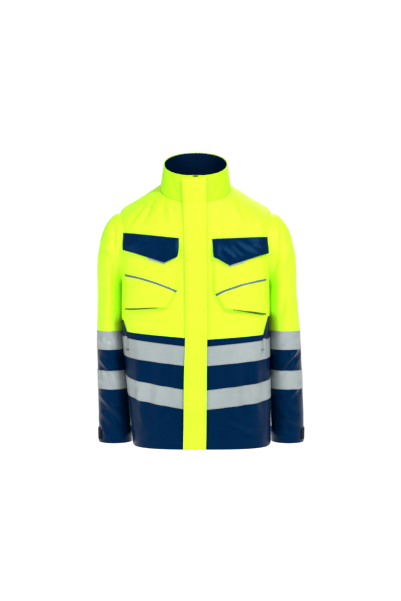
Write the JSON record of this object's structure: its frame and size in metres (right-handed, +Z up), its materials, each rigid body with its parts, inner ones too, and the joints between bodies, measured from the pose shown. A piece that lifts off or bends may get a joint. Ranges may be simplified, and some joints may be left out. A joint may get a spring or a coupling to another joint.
{
  "type": "foul weather jacket",
  "caption": "Two-colour foul weather work jacket with stand-up collar, storm flap over the front zip, flapped chest pockets, reflective bands and cuff tabs.",
  "frame": {"origin": "underside of the hanger loop's strap, at the middle of the inside of the back neck", "axes": "+Z up as the jacket hangs or is worn, -Y towards the front, +X towards the wearer's left"},
  "size_m": [0.5693, 0.292, 0.7941],
  "materials": {
    "yellow_shell": "fluorescent woven polyester, slight sheen",
    "navy_shell": "coated woven polyester, satin",
    "lining": "glossy woven polyester",
    "reflective_tape": "glass bead tape, satin",
    "grey_trim": "reflective piping, satin",
    "hook_and_loop": "matt",
    "zip_plastic": "satin",
    "slider_metal": "dark enamel"
  },
  "bodies": {
    "jacket_body": {"left_front_yoke": "yellow_shell", "right_front_yoke": "yellow_shell", "left_front_skirt": "navy_shell", "right_front_skirt": "navy_shell", "left_side_panel": "navy_shell", "right_side_panel": "navy_shell", "back_yoke": "yellow_shell", "back_skirt": "navy_shell", "left_front_lining": "lining", "right_front_lining": "lining", "back_lining": "lining", "collar_outer": "yellow_shell", "collar_lining": "lining", "hanger_loop": "lining", "left_zip_tape": "zip_plastic", "right_zip_tape": "zip_plastic", "left_zip_teeth": "zip_plastic", "right_zip_teeth": "zip_plastic", "zip_bottom_box": "zip_plastic", "front_loop_tape": "hook_and_loop", "upper_band_left_front": "reflective_tape", "upper_band_right_front": "reflective_tape", "upper_band_back": "reflective_tape", "lower_band_left_front": "reflective_tape", "lower_band_right_front": "reflective_tape", "lower_band_back": "reflective_tape", "left_chest_pocket": "yellow_shell", "right_chest_pocket": "yellow_shell", "left_pocket_piping": "grey_trim", "right_pocket_piping": "grey_trim", "left_hand_pocket_welt": "navy_shell", "right_hand_pocket_welt": "navy_shell", "left_hand_pocket_bag": "lining", "right_hand_pocket_bag": "lining"},
    "storm_flap": {"storm_flap": "yellow_shell", "flap_hook_tape": "hook_and_loop"},
    "main_slider": {"main_slider": "slider_metal", "main_puller": "slider_metal"},
    "left_chest_flap": {"left_chest_flap": "navy_shell", "left_flap_tab": "grey_trim"},
    "right_chest_flap": {"right_chest_flap": "navy_shell", "right_flap_tab": "grey_trim"},
    "left_sleeve": {"left_sleeve_upper": "yellow_shell", "left_sleeve_lower": "navy_shell", "left_cuff": "navy_shell", "left_sleeve_lining": "lining", "left_sleeve_upper_band": "reflective_tape", "left_sleeve_lower_band": "reflective_tape"},
    "right_sleeve": {"right_sleeve_upper": "yellow_shell", "right_sleeve_lower": "navy_shell", "right_cuff": "navy_shell", "right_sleeve_lining": "lining", "right_sleeve_upper_band": "reflective_tape", "right_sleeve_lower_band": "reflective_tape"},
    "left_cuff_tab": {"left_cuff_tab": "hook_and_loop"},
    "right_cuff_tab": {"right_cuff_tab": "hook_and_loop"}
  },
  "joints": [
    {"name": "storm_flap_hinge", "type": "hinge", "parent": "jacket_body", "child": "storm_flap", "pos_m": [0.0288, -0.1763, -0.36464], "axis": [0, 0.0607, 0.9982], "range_deg": [0, 100]},
    {"name": "zip_slide", "type": "slide", "parent": "jacket_body", "child": "main_slider", "axis": [0, -0.0607, -0.9982], "range_m": [0, 0.675]},
    {"name": "left_chest_flap_hinge", "type": "hinge", "parent": "jacket_body", "child": "left_chest_flap", "pos_m": [0.115, -0.16464, -0.17061], "axis": [-0.9774, -0.2008, -0.0655], "range_deg": [0, 150]},
    {"name": "right_chest_flap_hinge", "type": "hinge", "parent": "jacket_body", "child": "right_chest_flap", "pos_m": [-0.115, -0.16326, -0.16247], "axis": [-0.9732, 0.2202, 0.0656], "range_deg": [0, 150]},
    {"name": "left_sleeve_swing", "type": "hinge", "parent": "jacket_body", "child": "left_sleeve", "pos_m": [0.199, -0.03914, -0.1872], "axis": [-1, 0, 0], "range_deg": [-20, 60]},
    {"name": "right_sleeve_swing", "type": "hinge", "parent": "jacket_body", "child": "right_sleeve", "pos_m": [-0.199, -0.03914, -0.1872], "axis": [-1, 0, 0], "range_deg": [-20, 60]},
    {"name": "left_cuff_tab_hinge", "type": "hinge", "parent": "left_sleeve", "child": "left_cuff_tab", "pos_m": [0.27099, -0.01308, -0.69241], "axis": [-0.0076, 0.0409, 0.9991], "range_deg": [0, 100]},
    {"name": "right_cuff_tab_hinge", "type": "hinge", "parent": "right_sleeve", "child": "right_cuff_tab", "pos_m": [-0.24042, -0.01307, -0.69243], "axis": [0.0076, -0.0405, -0.9991], "range_deg": [0, 100]}
  ]
}
